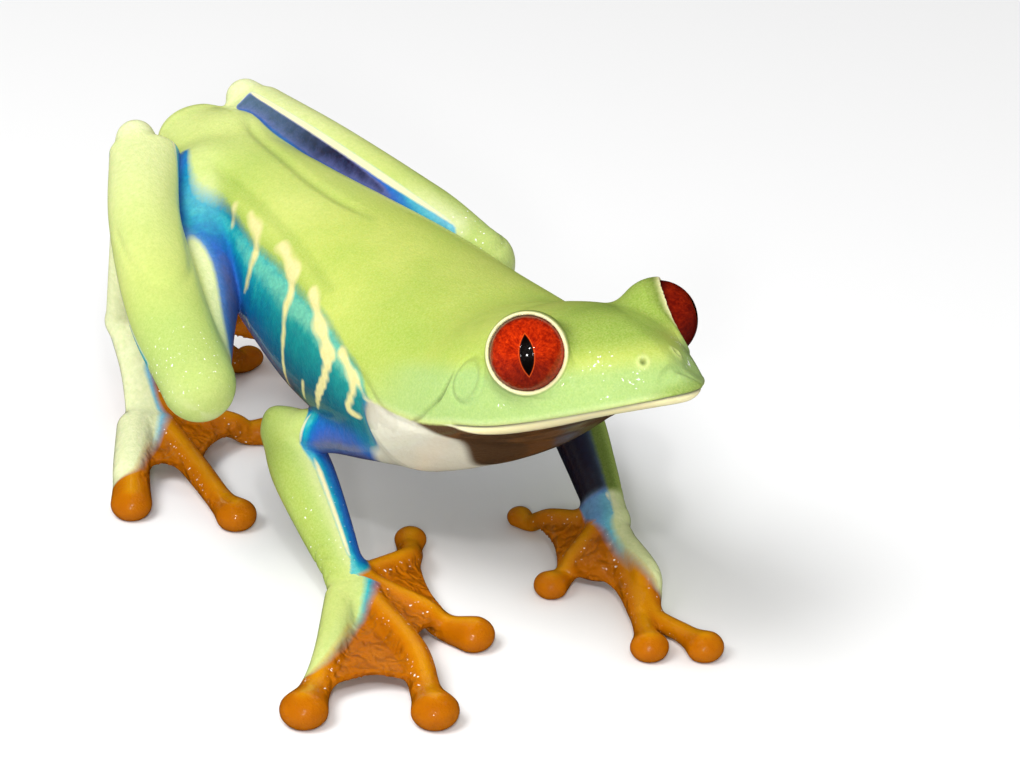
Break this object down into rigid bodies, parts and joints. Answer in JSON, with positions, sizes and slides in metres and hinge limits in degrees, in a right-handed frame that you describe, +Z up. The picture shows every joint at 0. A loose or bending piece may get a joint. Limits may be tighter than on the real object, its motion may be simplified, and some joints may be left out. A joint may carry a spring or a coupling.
{
  "type": "tree frog",
  "caption": "Life-size red-eyed tree frog sitting up on spread toe pads, with folded hind legs, bulging red eyes and webbed orange hands and feet.",
  "frame": {"origin": "on the floor, under the middle of the frog's bounding box", "axes": "+Z up, -Y from the vent toward the snout, +X to the frog's left"},
  "size_m": [0.0544, 0.0772, 0.0342],
  "materials": {
    "green_skin": "moist satin",
    "pale_skin": "moist satin",
    "blue_skin": "moist satin",
    "orange_skin": "wet gloss",
    "eyes": "wet gloss"
  },
  "bodies": {
    "root": {"head": "green_skin", "jaw": "pale_skin", "torso": "green_skin", "eye_right": "eyes", "ear_right": "green_skin", "eye_left": "eyes", "ear_left": "green_skin", "forearm_right": "green_skin", "upper_arm_right": "blue_skin", "finger_right_1": "orange_skin", "finger_right_2": "orange_skin", "finger_right_3": "orange_skin", "finger_right_4": "orange_skin", "hand_right": "orange_skin", "forearm_left": "green_skin", "upper_arm_left": "blue_skin", "finger_left_1": "orange_skin", "finger_left_2": "orange_skin", "finger_left_3": "orange_skin", "finger_left_4": "orange_skin", "hand_left": "orange_skin", "shank_right": "green_skin", "thigh_right": "blue_skin", "tarsus_right": "green_skin", "toe_right_1": "orange_skin", "toe_right_2": "orange_skin", "toe_right_3": "orange_skin", "toe_right_4": "orange_skin", "toe_right_5": "orange_skin", "foot_right": "orange_skin", "shank_left": "green_skin", "thigh_left": "blue_skin", "tarsus_left": "green_skin", "toe_left_1": "orange_skin", "toe_left_2": "orange_skin", "toe_left_3": "orange_skin", "toe_left_4": "orange_skin", "toe_left_5": "orange_skin", "foot_left": "orange_skin"}
  },
  "joints": []
}
